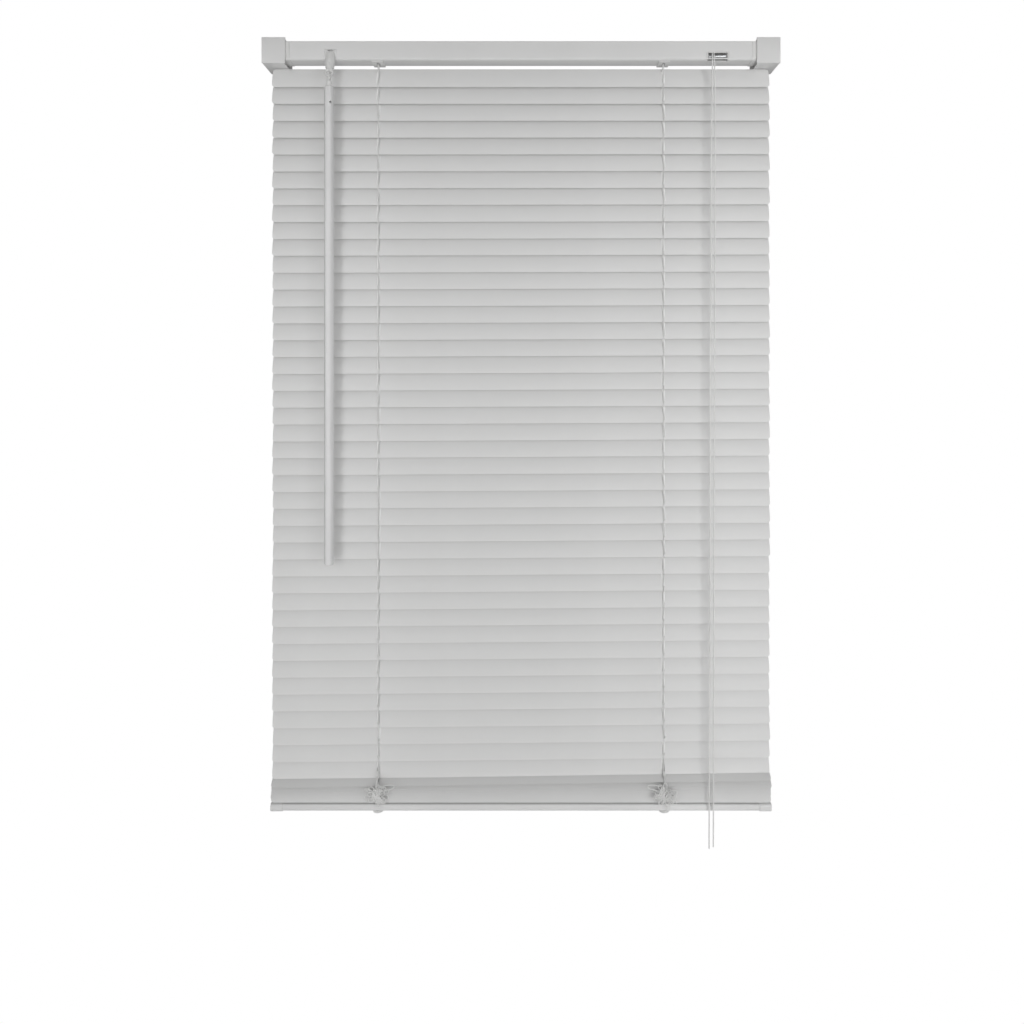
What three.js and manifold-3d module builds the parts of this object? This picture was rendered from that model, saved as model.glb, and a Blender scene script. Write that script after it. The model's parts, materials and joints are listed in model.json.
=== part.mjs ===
// A one-inch venetian blind in box brackets, partly raised, with a tilt wand and pull cords.
// Millimetres. +X to the right, +Y into the wall, +Z up; the wall is the plane y = 0 and the
// brackets' tops are at z = 0.
import * as THREE from 'three';
import { mergeVertices } from 'three/addons/utils/BufferGeometryUtils.js';
import Module from 'manifold-3d';

const wasm = await Module();
wasm.setup();

// ---- driving dimensions ------------------------------------------------------------------
const SLAT = { length: 622, width: 25.4, crown: 1.8, thick: 0.6, corner: 3.5, segments: 4 };
const SLOT = { length: 17.4, width: 3.2, corner: 1.2 };
const HANGING = 42;
const STACKED = 8;
const PITCH = 21.03;
const PITCH_LOSS = 0.09;
const CLOSED_DEG = 75;
const FIRST_SLAT_Z = -45.4;
const PIVOT_Y = -24;
const LADDER_X = 178.5;

const BRACKET = { outer: 320, width: 26.7, height: 32, depth: 40, wall: 1.2 };
const DOOR = { thick: 1.2, gap: 0.4, pin: 0.8, lip: 1.0 };
const RAIL = { half: 316, front: -37.3, back: -13, top: -3.7, bottom: -27, wall: 0.8, bend: 3.2 };

const TILTER_X = -236;
const ROD_Z = -15;
const ROD = { across: 5.4, left: -254, right: 200 };
const GEAR = { teeth: 12, outer: 6.3, root: 4.9, width: 7 };
const DRUM = { radius: 7.8, width: 10 };
const WORM = { lean: 20, distance: 8.7, core: 2.2, thread: 0.8, turns: 2, pitch: 3.0, phase: 210 };
const STEM = { radius: 4.1, start: 7.5, end: 32.2, eye: 5.4, hole: 3.1, eyeThick: 3, eyeAt: 36.5 };
const SNOUT = { outer: 5.9, bore: 4.6, end: 23.5 };
const TILTER_CUT = { width: 15, top: -14.2 };

const WAND = { across: 10, top: -63, bottom: -650.8, wire: 1.1, loop: 3.9 };

const LOCK = { left: 231.5, right: 256.5, mouthTop: -18.4 };
const PAWL = { radius: 2.6, z: -21.2, y: -32.2 };

const LADDER_STRING = 0.45;
const LIFT_CORD = 0.7;
const PULL_CORD = 0.75;
const RAIL_TOP_Z = -949.8;
const BOTTOM_RAIL = { width: 25.4, height: 9.9, round: 2.6 };
const PLUG = { radius: 6.6, drop: 3.1 };
const STACK_TOP_Z = -923.6;
const STACK_POST = 1.6;
const GAP = 0.3;

const rad = THREE.MathUtils.degToRad;
const root = new THREE.Group();

// ---- materials ---------------------------------------------------------------------------
function plastic(hex, roughness) {
  return new THREE.MeshStandardMaterial({ color: hex, roughness, metalness: 0 });
}
function metal(hex, roughness) {
  return new THREE.MeshStandardMaterial({ color: hex, roughness, metalness: 0.9 });
}
const VINYL = plastic(0xdedede, 0.45);
const PAINT = plastic(0xe2e2e2, 0.4);
const WAND_PLASTIC = plastic(0xe4e4e4, 0.3);
const NYLON = plastic(0xd8d8d6, 0.5);
const STRING = plastic(0xe6e6e6, 0.85);
const STEEL = metal(0x9a9da0, 0.4);

// ---- solids ------------------------------------------------------------------------------
function solid(geometry, matrix = null) {
  const plain = geometry.clone();
  plain.deleteAttribute('normal');
  plain.deleteAttribute('uv');
  if (matrix) plain.applyMatrix4(matrix);
  const merged = mergeVertices(plain, 1e-4);
  const vertProperties = new Float32Array(merged.attributes.position.array);
  const triVerts = new Uint32Array(merged.index.array);
  return new wasm.Manifold(new wasm.Mesh({ numProp: 3, vertProperties, triVerts }));
}

function geometryOf(manifold) {
  const mesh = manifold.getMesh();
  const geometry = new THREE.BufferGeometry();
  geometry.setAttribute('position', new THREE.BufferAttribute(new Float32Array(mesh.vertProperties), 3));
  geometry.setIndex(new THREE.BufferAttribute(new Uint32Array(mesh.triVerts), 1));
  return geometry;
}

function add(name, shape, material, parent = root) {
  const geometry = shape.isBufferGeometry ? shape : geometryOf(shape);
  const mesh = new THREE.Mesh(geometry, material);
  mesh.name = name;
  parent.add(mesh);
  return mesh;
}

function moved(x, y, z) {
  return new THREE.Matrix4().makeTranslation(x, y, z);
}

// A box from its lowest to its highest corner.
function box(low, high) {
  const size = high.map((h, i) => h - low[i]);
  const centre = high.map((h, i) => (h + low[i]) / 2);
  return solid(new THREE.BoxGeometry(...size), moved(...centre));
}

// A cylinder between two points.
function rod(start, end, radius, sides = 16) {
  const a = new THREE.Vector3(...start);
  const b = new THREE.Vector3(...end);
  const along = b.clone().sub(a);
  const turn = new THREE.Quaternion().setFromUnitVectors(new THREE.Vector3(0, 1, 0), along.clone().normalize());
  const place = new THREE.Matrix4().makeRotationFromQuaternion(turn).setPosition(a.add(b).multiplyScalar(0.5));
  return solid(new THREE.CylinderGeometry(radius, radius, along.length(), sides), place);
}

// A prism along X whose outline is drawn in the YZ plane.
function prismX(outline, x0, x1) {
  const geometry = new THREE.ExtrudeGeometry(outline, { depth: x1 - x0, bevelEnabled: false, curveSegments: 3 });
  const toYZ = new THREE.Matrix4().makeBasis(
    new THREE.Vector3(0, 1, 0),
    new THREE.Vector3(0, 0, 1),
    new THREE.Vector3(1, 0, 0),
  );
  return solid(geometry, toYZ.setPosition(x0, 0, 0));
}

// A vertical prism whose outline is drawn in the XY plane.
function prismZ(outline, z0, z1, curveSegments) {
  const geometry = new THREE.ExtrudeGeometry(outline, { depth: z1 - z0, bevelEnabled: false, curveSegments });
  return solid(geometry, moved(0, 0, z0));
}

function roundedRectangle(low, high, radius) {
  const shape = new THREE.Shape();
  const [x0, y0] = low;
  const [x1, y1] = high;
  shape.moveTo(x0 + radius, y0).lineTo(x1 - radius, y0).quadraticCurveTo(x1, y0, x1, y0 + radius);
  shape.lineTo(x1, y1 - radius).quadraticCurveTo(x1, y1, x1 - radius, y1);
  shape.lineTo(x0 + radius, y1).quadraticCurveTo(x0, y1, x0, y1 - radius);
  shape.lineTo(x0, y0 + radius).quadraticCurveTo(x0, y0, x0 + radius, y0);
  return shape;
}

// A smooth curve whose extrusion steps fall on its control points, however unevenly they lie.
class CordPath extends THREE.CatmullRomCurve3 {
  getPointAt(t, target) {
    return this.getPoint(t, target);
  }

  getTangentAt(t, target) {
    return this.getTangent(t, target);
  }

  getSpacedPoints(divisions) {
    return this.getPoints(divisions);
  }
}

// A tube of n sides through points, with a number of steps from each point to the next.
function tube(points, radius, sides, stepsEach = 1) {
  const section = new THREE.Shape();
  for (let i = 0; i < sides; i += 1) {
    const angle = (2 * Math.PI * i) / sides;
    section[i ? 'lineTo' : 'moveTo'](radius * Math.cos(angle), radius * Math.sin(angle));
  }
  const path = new CordPath(points.map((p) => new THREE.Vector3(...p)));
  const steps = (points.length - 1) * stepsEach;
  return solid(new THREE.ExtrudeGeometry(section, { steps, bevelEnabled: false, extrudePath: path }));
}

function union(parts) {
  return parts.reduce((whole, part) => whole.add(part));
}

// ---- slats -------------------------------------------------------------------------------
// Laid flat: the slat's front edge is at -y, its crown is up and its chord's middle is the origin.
function slatShape() {
  const half = SLAT.width / 2;
  const radius = (half * half + SLAT.crown * SLAT.crown) / (2 * SLAT.crown);
  const sweep = Math.asin(half / radius);
  const centreZ = SLAT.crown - radius;
  const outline = new THREE.Shape();
  for (let side = 0; side < 2; side += 1) {
    const r = radius + (side ? -1 : 1) * (SLAT.thick / 2);
    for (let i = 0; i <= SLAT.segments; i += 1) {
      const part = side ? SLAT.segments - i : i;
      const angle = sweep * ((2 * part) / SLAT.segments - 1);
      outline[side || i ? 'lineTo' : 'moveTo'](r * Math.sin(angle), centreZ + r * Math.cos(angle));
    }
  }
  const arc = prismX(outline, -SLAT.length / 2, SLAT.length / 2);
  const plan = roundedRectangle([-SLAT.length / 2, -half - 1], [SLAT.length / 2, half + 1], SLAT.corner + 1);
  let shape = arc.intersect(prismZ(plan, -5, 5, 2));
  for (const x of [-LADDER_X, LADDER_X]) {
    const low = [x - SLOT.width / 2, -SLOT.length / 2];
    const high = [x + SLOT.width / 2, SLOT.length / 2];
    shape = shape.subtract(prismZ(roundedRectangle(low, high, SLOT.corner), -5, 5, 1));
  }
  return shape;
}

// How far the slat that hangs this many pitches down slopes up to the right, in radians.
function slope(step) {
  return Math.atan((PITCH_LOSS * step) / (2 * LADDER_X));
}

function hangingSlats() {
  const geometry = geometryOf(slatShape());
  for (let i = 0; i < HANGING; i += 1) {
    const hanger = new THREE.Group();
    hanger.position.set(0, PIVOT_Y, FIRST_SLAT_Z - PITCH * i);
    hanger.rotation.y = -slope(i);
    root.add(hanger);
    const slat = add(`slat_${String(i + 1).padStart(2, '0')}`, geometry, VINYL, hanger);
    slat.rotation.x = rad(CLOSED_DEG);
  }
}

// The raised slats lie on the bottom rail; the two posts are the bunched string between them.
function stackedSlats() {
  const bottomZ = RAIL_TOP_Z + SLAT.thick / 2 + GAP;
  const parts = [];
  for (let i = 0; i < STACKED; i += 1) {
    const share = i / (STACKED - 1);
    const z = STACK_TOP_Z + (bottomZ - STACK_TOP_Z) * share;
    const tilt = new THREE.Matrix4().makeRotationY(-slope(HANGING) * (1 - share));
    const slat = slatShape().transform(tilt.setPosition(0, PIVOT_Y, z).elements);
    parts.push(slat);
  }
  for (const x of [-LADDER_X - 5, LADDER_X + 5]) {
    const foot = [x, PIVOT_Y, bottomZ + SLAT.crown];
    parts.push(rod(foot, [x, PIVOT_Y, STACK_TOP_Z + SLAT.crown + (x * slope(HANGING))], STACK_POST, 8));
  }
  add('stacked_slats', union(parts), VINYL);
}

// ---- headrail ----------------------------------------------------------------------------
function headrail() {
  const { half, front, back, top, bottom, wall, bend } = RAIL;
  function channel(inset, roof) {
    const shape = new THREE.Shape();
    const r = bend - inset;
    shape.moveTo(front + inset, roof).lineTo(front + inset, bottom + bend);
    shape.absarc(front + bend, bottom + bend, r, Math.PI, 1.5 * Math.PI, false);
    shape.absarc(back - bend, bottom + bend, r, 1.5 * Math.PI, 2 * Math.PI, false);
    shape.lineTo(back - inset, roof);
    return shape;
  }
  let rail = prismX(channel(0, top), -half, half).subtract(prismX(channel(wall, top + 5), -half - 1, half + 1));
  const lipDepth = 2.2;
  const lips = [
    box([-half, front + wall / 2, top - wall], [half, front + lipDepth, top]),
    box([-half, back - lipDepth, top - wall], [half, back - wall / 2, top]),
  ];
  rail = rail.add(lips[0]).add(lips[1]);
  const cuts = [
    box(
      [TILTER_X - TILTER_CUT.width / 2, front - 1, bottom - 1],
      [TILTER_X + TILTER_CUT.width / 2, front + 9, TILTER_CUT.top],
    ),
    box([LOCK.left, front - 1, bottom - 1], [LOCK.right, front + 5.5, LOCK.mouthTop]),
  ];
  for (const x of [-LADDER_X, LADDER_X]) {
    cuts.push(box([x - 4, PIVOT_Y - 9, bottom - 1], [x + 4, PIVOT_Y + 9, bottom + 2]));
  }
  for (const cut of cuts) rail = rail.subtract(cut);
  add('headrail', rail, PAINT);
}

// ---- brackets ----------------------------------------------------------------------------
// Drawn for the right side; side -1 mirrors it.
function bracket(side, name) {
  const { outer, width, height, depth, wall } = BRACKET;
  const inner = outer - width;
  const front = -depth + DOOR.thick + DOOR.gap;
  function part(low, high) {
    const xs = [side * low[0], side * high[0]].sort((a, b) => a - b);
    return box([xs[0], low[1], low[2]], [xs[1], high[1], high[2]]);
  }
  let shell = part([inner, front, -height], [outer, 0, 0]);
  shell = shell.subtract(part([inner - 1, front - 1, -height + wall], [outer - wall, -wall, -wall]));
  const restTop = RAIL.bottom - GAP;
  for (const y of [-32, -19]) {
    shell = shell.add(part([inner + 2, y - 2, -height + wall / 2], [outer - wall - 2, y + 2, restTop]));
  }
  const hole = 2.2;
  const middle = inner + width / 2;
  for (const x of [middle - 6, middle + 6]) {
    shell = shell.subtract(rod([side * x, -3, -16], [side * x, 3, -16], hole, 12));
    shell = shell.subtract(rod([side * x, -15, -3], [side * x, -15, 3], hole, 12));
  }
  shell = shell.subtract(rod([side * (outer - 5), -9, -16], [side * (outer + 3), -9, -16], hole, 12));
  for (const x of [inner + 7, inner + 15]) {
    shell = shell.subtract(rod([side * x, -11, -height - 2], [side * x, -11, -height + 3], 1.1, 8));
  }
  add(name, shell, PAINT);
}

// A flat cover with a folded lip on its inner edge; it swings on the bracket's outer front edge.
function door(side, name) {
  const { outer, width, height, depth } = BRACKET;
  const inner = outer - width;
  function part(low, high) {
    const xs = [side * low[0], side * high[0]].sort((a, b) => a - b);
    return box([xs[0], low[1], low[2]], [xs[1], high[1], high[2]]);
  }
  const plate = part([inner, -depth, -height], [outer, -depth + DOOR.thick, 0]);
  const pin = rod([side * outer, -depth + DOOR.thick / 2, -height], [side * outer, -depth + DOOR.thick / 2, 0], DOOR.pin, 10);
  const lipBack = -depth + DOOR.thick + DOOR.lip;
  const lip = part([inner - DOOR.thick - GAP, -depth, -height], [inner - GAP, lipBack, 0]);
  const bridge = part([inner - DOOR.thick, -depth, -height], [inner + 1, -depth + DOOR.thick, 0]);
  add(name, plate.add(pin).add(bridge).add(lip), PAINT);
}

// ---- tilter ------------------------------------------------------------------------------
const lean = rad(WORM.lean);
const DOWN = [0, -Math.sin(lean), -Math.cos(lean)];
const OUT = [0, -Math.cos(lean), Math.sin(lean)];
const WORM_ORIGIN = [TILTER_X, PIVOT_Y + OUT[1] * WORM.distance, ROD_Z + OUT[2] * WORM.distance];

function alongWorm(t) {
  return WORM_ORIGIN.map((v, i) => v + DOWN[i] * t);
}

function tiltRod() {
  const { across, left, right } = ROD;
  const radius = across / Math.sqrt(3);
  const parts = [rod([left, PIVOT_Y, ROD_Z], [right, PIVOT_Y, ROD_Z], radius, 6)];
  const outline = new THREE.Shape();
  for (let i = 0; i < GEAR.teeth * 4; i += 1) {
    const angle = (2 * Math.PI * (i - 0.5)) / (GEAR.teeth * 4);
    const r = i % 4 < 2 ? GEAR.outer : GEAR.root;
    outline[i ? 'lineTo' : 'moveTo'](PIVOT_Y + r * Math.cos(angle), ROD_Z + r * Math.sin(angle));
  }
  parts.push(prismX(outline, TILTER_X - GEAR.width / 2, TILTER_X + GEAR.width / 2));
  for (const x of [-LADDER_X, LADDER_X]) {
    parts.push(rod([x - DRUM.width / 2, PIVOT_Y, ROD_Z], [x + DRUM.width / 2, PIVOT_Y, ROD_Z], DRUM.radius, 20));
  }
  add('tilt_rod', union(parts), STEEL);
}

function tilterWorm() {
  const span = WORM.turns * WORM.pitch;
  const parts = [
    rod(alongWorm(-span / 2 - 1.5), alongWorm(STEM.start + 0.5), WORM.core, 12),
    rod(alongWorm(STEM.start), alongWorm(STEM.end), STEM.radius, 16),
  ];
  const thread = [];
  const perTurn = 8;
  const steps = WORM.turns * perTurn;
  for (let i = 0; i <= steps; i += 1) {
    const angle = (2 * Math.PI * i) / perTurn + rad(WORM.phase);
    const r = WORM.core + WORM.thread / 2 - 0.1;
    const t = -span / 2 + (span * i) / steps;
    const [x, y, z] = alongWorm(t);
    const sideways = r * Math.cos(angle);
    const outward = r * Math.sin(angle);
    thread.push([x + sideways, y + OUT[1] * outward, z + OUT[2] * outward]);
  }
  parts.push(tube(thread, WORM.thread / 2 + 0.1, 4));
  const eye = alongWorm(STEM.eyeAt);
  const faceHalf = STEM.eyeThick / 2;
  const ends = [-faceHalf, faceHalf].map((d) => eye.map((v, i) => v + OUT[i] * d));
  const bores = [-4, 4].map((d) => eye.map((v, i) => v + OUT[i] * d));
  const disc = rod(ends[0], ends[1], STEM.eye, 20).subtract(rod(bores[0], bores[1], STEM.hole, 16));
  add('tilter_worm', union(parts).add(disc), NYLON);
}

function tilterHousing() {
  const halfWidth = TILTER_CUT.width / 2 - 0.5;
  const front = RAIL.front + 0.1;
  const floor = RAIL.bottom + RAIL.wall + GAP;
  const low = [TILTER_X - halfWidth, front + 9.4, floor];
  let body = box(low, [TILTER_X + halfWidth, RAIL.back - RAIL.wall - 2, -6.5]);
  body = body.add(box([TILTER_X - halfWidth, front, floor + 3], [TILTER_X + halfWidth, front + 9.6, TILTER_CUT.top - 1.2]));
  body = body.add(rod(alongWorm(8), alongWorm(SNOUT.end), SNOUT.outer, 20));
  const cavity = GEAR.width / 2 + GAP;
  body = body.subtract(rod([TILTER_X - cavity, PIVOT_Y, ROD_Z], [TILTER_X + cavity, PIVOT_Y, ROD_Z], GEAR.outer + 0.6, 20));
  body = body.subtract(box([TILTER_X - cavity, PIVOT_Y - 7.3, ROD_Z], [TILTER_X + cavity, PIVOT_Y + 7.3, 0]));
  body = body.subtract(rod([TILTER_X - 20, PIVOT_Y, ROD_Z], [TILTER_X + 20, PIVOT_Y, ROD_Z], ROD.across / 2 + 0.8, 16));
  body = body.subtract(rod(alongWorm(-14), alongWorm(STEM.start - 0.3), WORM.core + WORM.thread + 0.6, 16));
  body = body.subtract(rod(alongWorm(-8), alongWorm(SNOUT.end + 1), SNOUT.bore, 20));
  add('tilter_housing', body, NYLON);
}

// The wand hangs on a closed loop of wire through the stem's eye.
function wand() {
  const [x, y, z] = alongWorm(STEM.eyeAt + (STEM.eye + STEM.hole) / 2);
  const loop = new THREE.TorusGeometry(WAND.loop, WAND.wire, 8, 20);
  const place = new THREE.Matrix4().makeRotationY(Math.PI / 2).setPosition(x, y, z);
  const corner = WAND.across / Math.sqrt(3);
  const parts = [
    solid(loop, place),
    rod([x, y, z - WAND.loop], [x, y, WAND.top - 2], 2.4, 12),
    rod([x, y, WAND.top], [x, y, WAND.bottom], corner, 6),
  ];
  add('wand', union(parts), WAND_PLASTIC);
}

// ---- cord lock ---------------------------------------------------------------------------
function cordLock() {
  const front = RAIL.front + RAIL.wall + GAP;
  const floor = RAIL.bottom + RAIL.wall + 1.6;
  const low = [LOCK.left - 1.5, front, floor];
  let body = box(low, [LOCK.right + 1.5, RAIL.back - 1.6, -8]);
  body = body.subtract(box([LOCK.left + 1, front - 1, floor - 1], [LOCK.right - 1, front + 10, LOCK.mouthTop + 2]));
  body = body.subtract(box([LOCK.left + 1, front + 9, floor + 2], [LOCK.right - 1, RAIL.back - 3.1, 0]));
  const clear = GAP + 0.2;
  body = body.subtract(rod([LOCK.left - 0.7, PAWL.y, PAWL.z], [LOCK.right + 0.7, PAWL.y, PAWL.z], 1.2 + clear, 12));
  add('cord_lock', body, NYLON);
}

function cordLockPawl() {
  const roller = rod([LOCK.left + 1.5, PAWL.y, PAWL.z], [LOCK.right - 1.5, PAWL.y, PAWL.z], PAWL.radius, 16);
  const axle = rod([LOCK.left - 0.4, PAWL.y, PAWL.z], [LOCK.right + 0.4, PAWL.y, PAWL.z], 1.2, 12);
  add('cord_lock_roller', roller.add(axle), STEEL);
}

// ---- strings and cords -------------------------------------------------------------------
const STRING_REACH = (SLAT.width / 2) * Math.cos(rad(CLOSED_DEG)) + SLAT.thick / 2 + LADDER_STRING + GAP;
const STRING_FOOT_Z = RAIL_TOP_Z - BOTTOM_RAIL.height / 2;

// Two strings run from the drum down the slats' edges and join under the last hanging slat.
function ladder(x, name) {
  const stackFront = SLAT.width / 2 + 1.2;
  const headZ = ROD_Z - DRUM.radius - 1.4;
  const parts = [];
  for (const side of [-1, 1]) {
    const near = PIVOT_Y + side * STRING_REACH;
    const far = PIVOT_Y + side * stackFront;
    const lastZ = FIRST_SLAT_Z - PITCH * (HANGING - 1) - 8;
    const points = [
      [x, PIVOT_Y, headZ], [x, near, headZ - 9], [x, near, FIRST_SLAT_Z - 150], [x, near, lastZ + 150],
      [x, near, lastZ], [x, far, STACK_TOP_Z + 5], [x, far, RAIL_TOP_Z],
    ];
    parts.push(tube(points, LADDER_STRING, 6));
  }
  parts.push(solid(new THREE.IcosahedronGeometry(LADDER_STRING * 2, 0), moved(x, PIVOT_Y, headZ)));
  add(name, union(parts), STRING);
}

// A lift cord runs from the bottom rail up through the slots to the headrail's floor.
function liftCord(x, name) {
  const cord = rod([x, PIVOT_Y, RAIL_TOP_Z + GAP], [x, PIVOT_Y, RAIL.bottom - 0.2], LIFT_CORD, 8);
  add(name, cord, STRING);
}

// The two pull cords leave the lock side by side over its roller and hang to bare ends.
const PULL_ROUTES = [
  [[237.2, -30.2, -17.6], [237.2, -33.4, -17.2], [237.1, -36.6, -19.6], [236.9, -38.6, -24.5],
    [236.7, -39.4, -34], [236.0, -39.7, -70], [235.2, -39.8, -160], [234.6, -39.8, -300], [234.0, -39.8, -460],
    [233.6, -39.8, -620], [233.2, -39.8, -780], [232.8, -39.8, -900], [232.5, -39.8, -1003]],
  [[239.2, -30.2, -17.6], [239.2, -33.4, -17.2], [239.2, -36.6, -19.6], [239.3, -38.6, -24.5],
    [239.4, -39.4, -34], [239.9, -39.7, -70], [240.2, -39.8, -160], [239.8, -39.8, -300], [239.2, -39.8, -460],
    [238.8, -39.8, -620], [238.4, -39.8, -780], [238.0, -39.8, -900], [237.7, -39.8, -1001]],
];

function pullCords() {
  const cords = PULL_ROUTES.map((route) => tube(route, PULL_CORD, 8, 2));
  const clip = box([236.6, -30.4, -18.2], [239.8, -29.6, -17.0]);
  add('pull_cords', cords[0].add(cords[1]).add(clip), STRING);
}

// ---- bottom rail -------------------------------------------------------------------------
function bottomRail() {
  const half = BOTTOM_RAIL.width / 2;
  const low = [PIVOT_Y - half, RAIL_TOP_Z - BOTTOM_RAIL.height];
  const outline = roundedRectangle(low, [PIVOT_Y + half, RAIL_TOP_Z], BOTTOM_RAIL.round);
  let rail = prismX(outline, -SLAT.length / 2, SLAT.length / 2);
  for (const x of [-LADDER_X, LADDER_X]) {
    const foot = low[1] - PLUG.drop;
    rail = rail.add(rod([x, PIVOT_Y - 4, foot + 1], [x, PIVOT_Y - 4, low[1] + 1], PLUG.radius, 20));
    rail = rail.add(rod([x, PIVOT_Y - 4, foot], [x, PIVOT_Y - 4, low[1] + 1], PLUG.radius - 1.2, 20));
  }
  add('bottom_rail', rail, VINYL);
}

// ---- assembly ----------------------------------------------------------------------------
headrail();
bracket(-1, 'bracket_left');
bracket(1, 'bracket_right');
door(-1, 'bracket_door_left');
door(1, 'bracket_door_right');
tiltRod();
tilterWorm();
tilterHousing();
wand();
cordLock();
cordLockPawl();
ladder(-LADDER_X, 'ladder_left');
ladder(LADDER_X, 'ladder_right');
liftCord(-LADDER_X, 'lift_cord_left');
liftCord(LADDER_X, 'lift_cord_right');
pullCords();
hangingSlats();
stackedSlats();
bottomRail();

export default root;
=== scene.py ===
"""Looks of a one-inch venetian blind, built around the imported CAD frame. Blender 4.5, metres.

+X is to the right, +Y into the wall and +Z up. The wall is the plane y = 0.
"""
import json
import math
import random

import bmesh
import bpy
from mathutils import Matrix, Vector

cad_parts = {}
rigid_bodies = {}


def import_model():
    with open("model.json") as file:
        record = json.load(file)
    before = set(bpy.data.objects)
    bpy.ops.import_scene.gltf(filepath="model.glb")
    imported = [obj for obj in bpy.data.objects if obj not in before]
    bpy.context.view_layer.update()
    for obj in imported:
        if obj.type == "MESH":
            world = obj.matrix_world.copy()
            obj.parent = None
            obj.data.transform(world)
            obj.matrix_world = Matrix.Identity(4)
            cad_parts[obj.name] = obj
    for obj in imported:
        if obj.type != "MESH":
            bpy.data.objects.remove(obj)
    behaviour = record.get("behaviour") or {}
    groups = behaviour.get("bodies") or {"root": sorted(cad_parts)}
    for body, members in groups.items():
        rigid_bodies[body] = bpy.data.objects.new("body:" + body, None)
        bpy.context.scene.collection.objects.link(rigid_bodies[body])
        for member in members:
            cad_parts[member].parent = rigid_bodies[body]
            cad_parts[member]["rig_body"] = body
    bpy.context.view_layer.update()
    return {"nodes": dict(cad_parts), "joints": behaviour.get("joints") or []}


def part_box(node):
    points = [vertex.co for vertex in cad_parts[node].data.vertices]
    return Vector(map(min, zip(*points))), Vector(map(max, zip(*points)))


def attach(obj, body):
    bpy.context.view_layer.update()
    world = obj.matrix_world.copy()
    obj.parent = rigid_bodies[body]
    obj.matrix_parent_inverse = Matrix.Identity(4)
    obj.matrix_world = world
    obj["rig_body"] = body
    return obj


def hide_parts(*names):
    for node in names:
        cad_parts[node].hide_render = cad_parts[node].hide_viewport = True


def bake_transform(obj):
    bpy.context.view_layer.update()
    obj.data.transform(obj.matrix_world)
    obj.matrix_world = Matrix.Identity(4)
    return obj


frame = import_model()
nodes = frame["nodes"]
joints = {joint["name"]: joint for joint in frame["joints"]}
MM = 0.001

# ---- driving dimensions, in millimetres ------------------------------------------------------
SLAT_LENGTH = 622.0
SLAT_WIDTH = 25.4
SLAT_CROWN = 1.8
SLAT_THICK = 0.55
SLAT_CORNER = 3.5
SLOT_LENGTH = 17.4
SLOT_WIDTH = 3.2
SLOT_CORNER = 1.2
CLOSED = math.radians(75)
HANGING = 42
LADDER_X = 178.5
PIVOT_Y = -24.0
ROD_Z = -15.0
CORD_ASIDE = 0.65
PULL_DIAMETER = 1.5
SIDES = ((-1, "left"), (1, "right"))


def metres(point):
    """A point in millimetres as a Vector in metres."""
    return Vector(point) * MM


# ---- camera, sky, lights and floor -----------------------------------------------------------
CAMERA = (0.0, -1.084, -0.4098)
LENS = 29.70
SHIFT = (-0.0088, -0.14)


def make_camera():
    data = bpy.data.cameras.new("camera")
    data.lens = LENS
    data.sensor_width = 36
    data.shift_x, data.shift_y = SHIFT
    camera = bpy.data.objects.new("camera", data)
    camera.location = CAMERA
    camera.rotation_euler = (math.radians(90), 0, 0)
    bpy.context.scene.collection.objects.link(camera)
    bpy.context.scene.camera = camera


def make_sky(light_strength):
    """The camera sees plain white, and a dimmer sky, darkest overhead, lights the object."""
    world = bpy.data.worlds.new("studio")
    bpy.context.scene.world = world
    world.use_nodes = True
    tree = world.node_tree
    tree.nodes.clear()
    output = tree.nodes.new("ShaderNodeOutputWorld")
    seen = tree.nodes.new("ShaderNodeBackground")
    seen.inputs["Color"].default_value = (1, 1, 1, 1)
    sky = tree.nodes.new("ShaderNodeBackground")
    sky.inputs["Strength"].default_value = light_strength
    place = tree.nodes.new("ShaderNodeTexCoord")
    split = tree.nodes.new("ShaderNodeSeparateXYZ")
    ramp = tree.nodes.new("ShaderNodeMapRange")
    ramp.inputs["From Min"].default_value = -1
    ramp.inputs["From Max"].default_value = 1
    ramp.inputs["To Min"].default_value = 1.0
    ramp.inputs["To Max"].default_value = 0.8
    path = tree.nodes.new("ShaderNodeLightPath")
    mix = tree.nodes.new("ShaderNodeMixShader")
    link = tree.links.new
    link(place.outputs["Generated"], split.inputs[0])
    link(split.outputs["Z"], ramp.inputs["Value"])
    link(ramp.outputs["Result"], sky.inputs["Color"])
    link(path.outputs["Is Camera Ray"], mix.inputs["Fac"])
    link(sky.outputs[0], mix.inputs[1])
    link(seen.outputs[0], mix.inputs[2])
    link(mix.outputs[0], output.inputs["Surface"])


def make_light(name, position, target, size, power, spread=180):
    """An upright soft box, width by height, that throws its light within a cone."""
    data = bpy.data.lights.new(name, "AREA")
    data.shape = "RECTANGLE"
    data.size, data.size_y = size
    data.energy = power
    data.spread = math.radians(spread)
    lamp = bpy.data.objects.new(name, data)
    lamp.location = position
    lamp.visible_camera = False
    lamp.rotation_euler = (Vector(target) - Vector(position)).to_track_quat("-Z", "Y").to_euler()
    bpy.context.scene.collection.objects.link(lamp)


def make_floor():
    """A pale round floor, well below the object."""
    bm = bmesh.new()
    bmesh.ops.create_circle(bm, cap_ends=True, segments=96, radius=2.1)
    data = bpy.data.meshes.new("floor")
    bm.to_mesh(data)
    bm.free()
    floor = bpy.data.objects.new("floor", data)
    floor.location = (0, 0, -3.0)
    bpy.context.scene.collection.objects.link(floor)
    data.materials.append(plastic("floor_paint", (0.82, 0.82, 0.82), 0.7, grain=40, bump=0.02))


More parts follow.
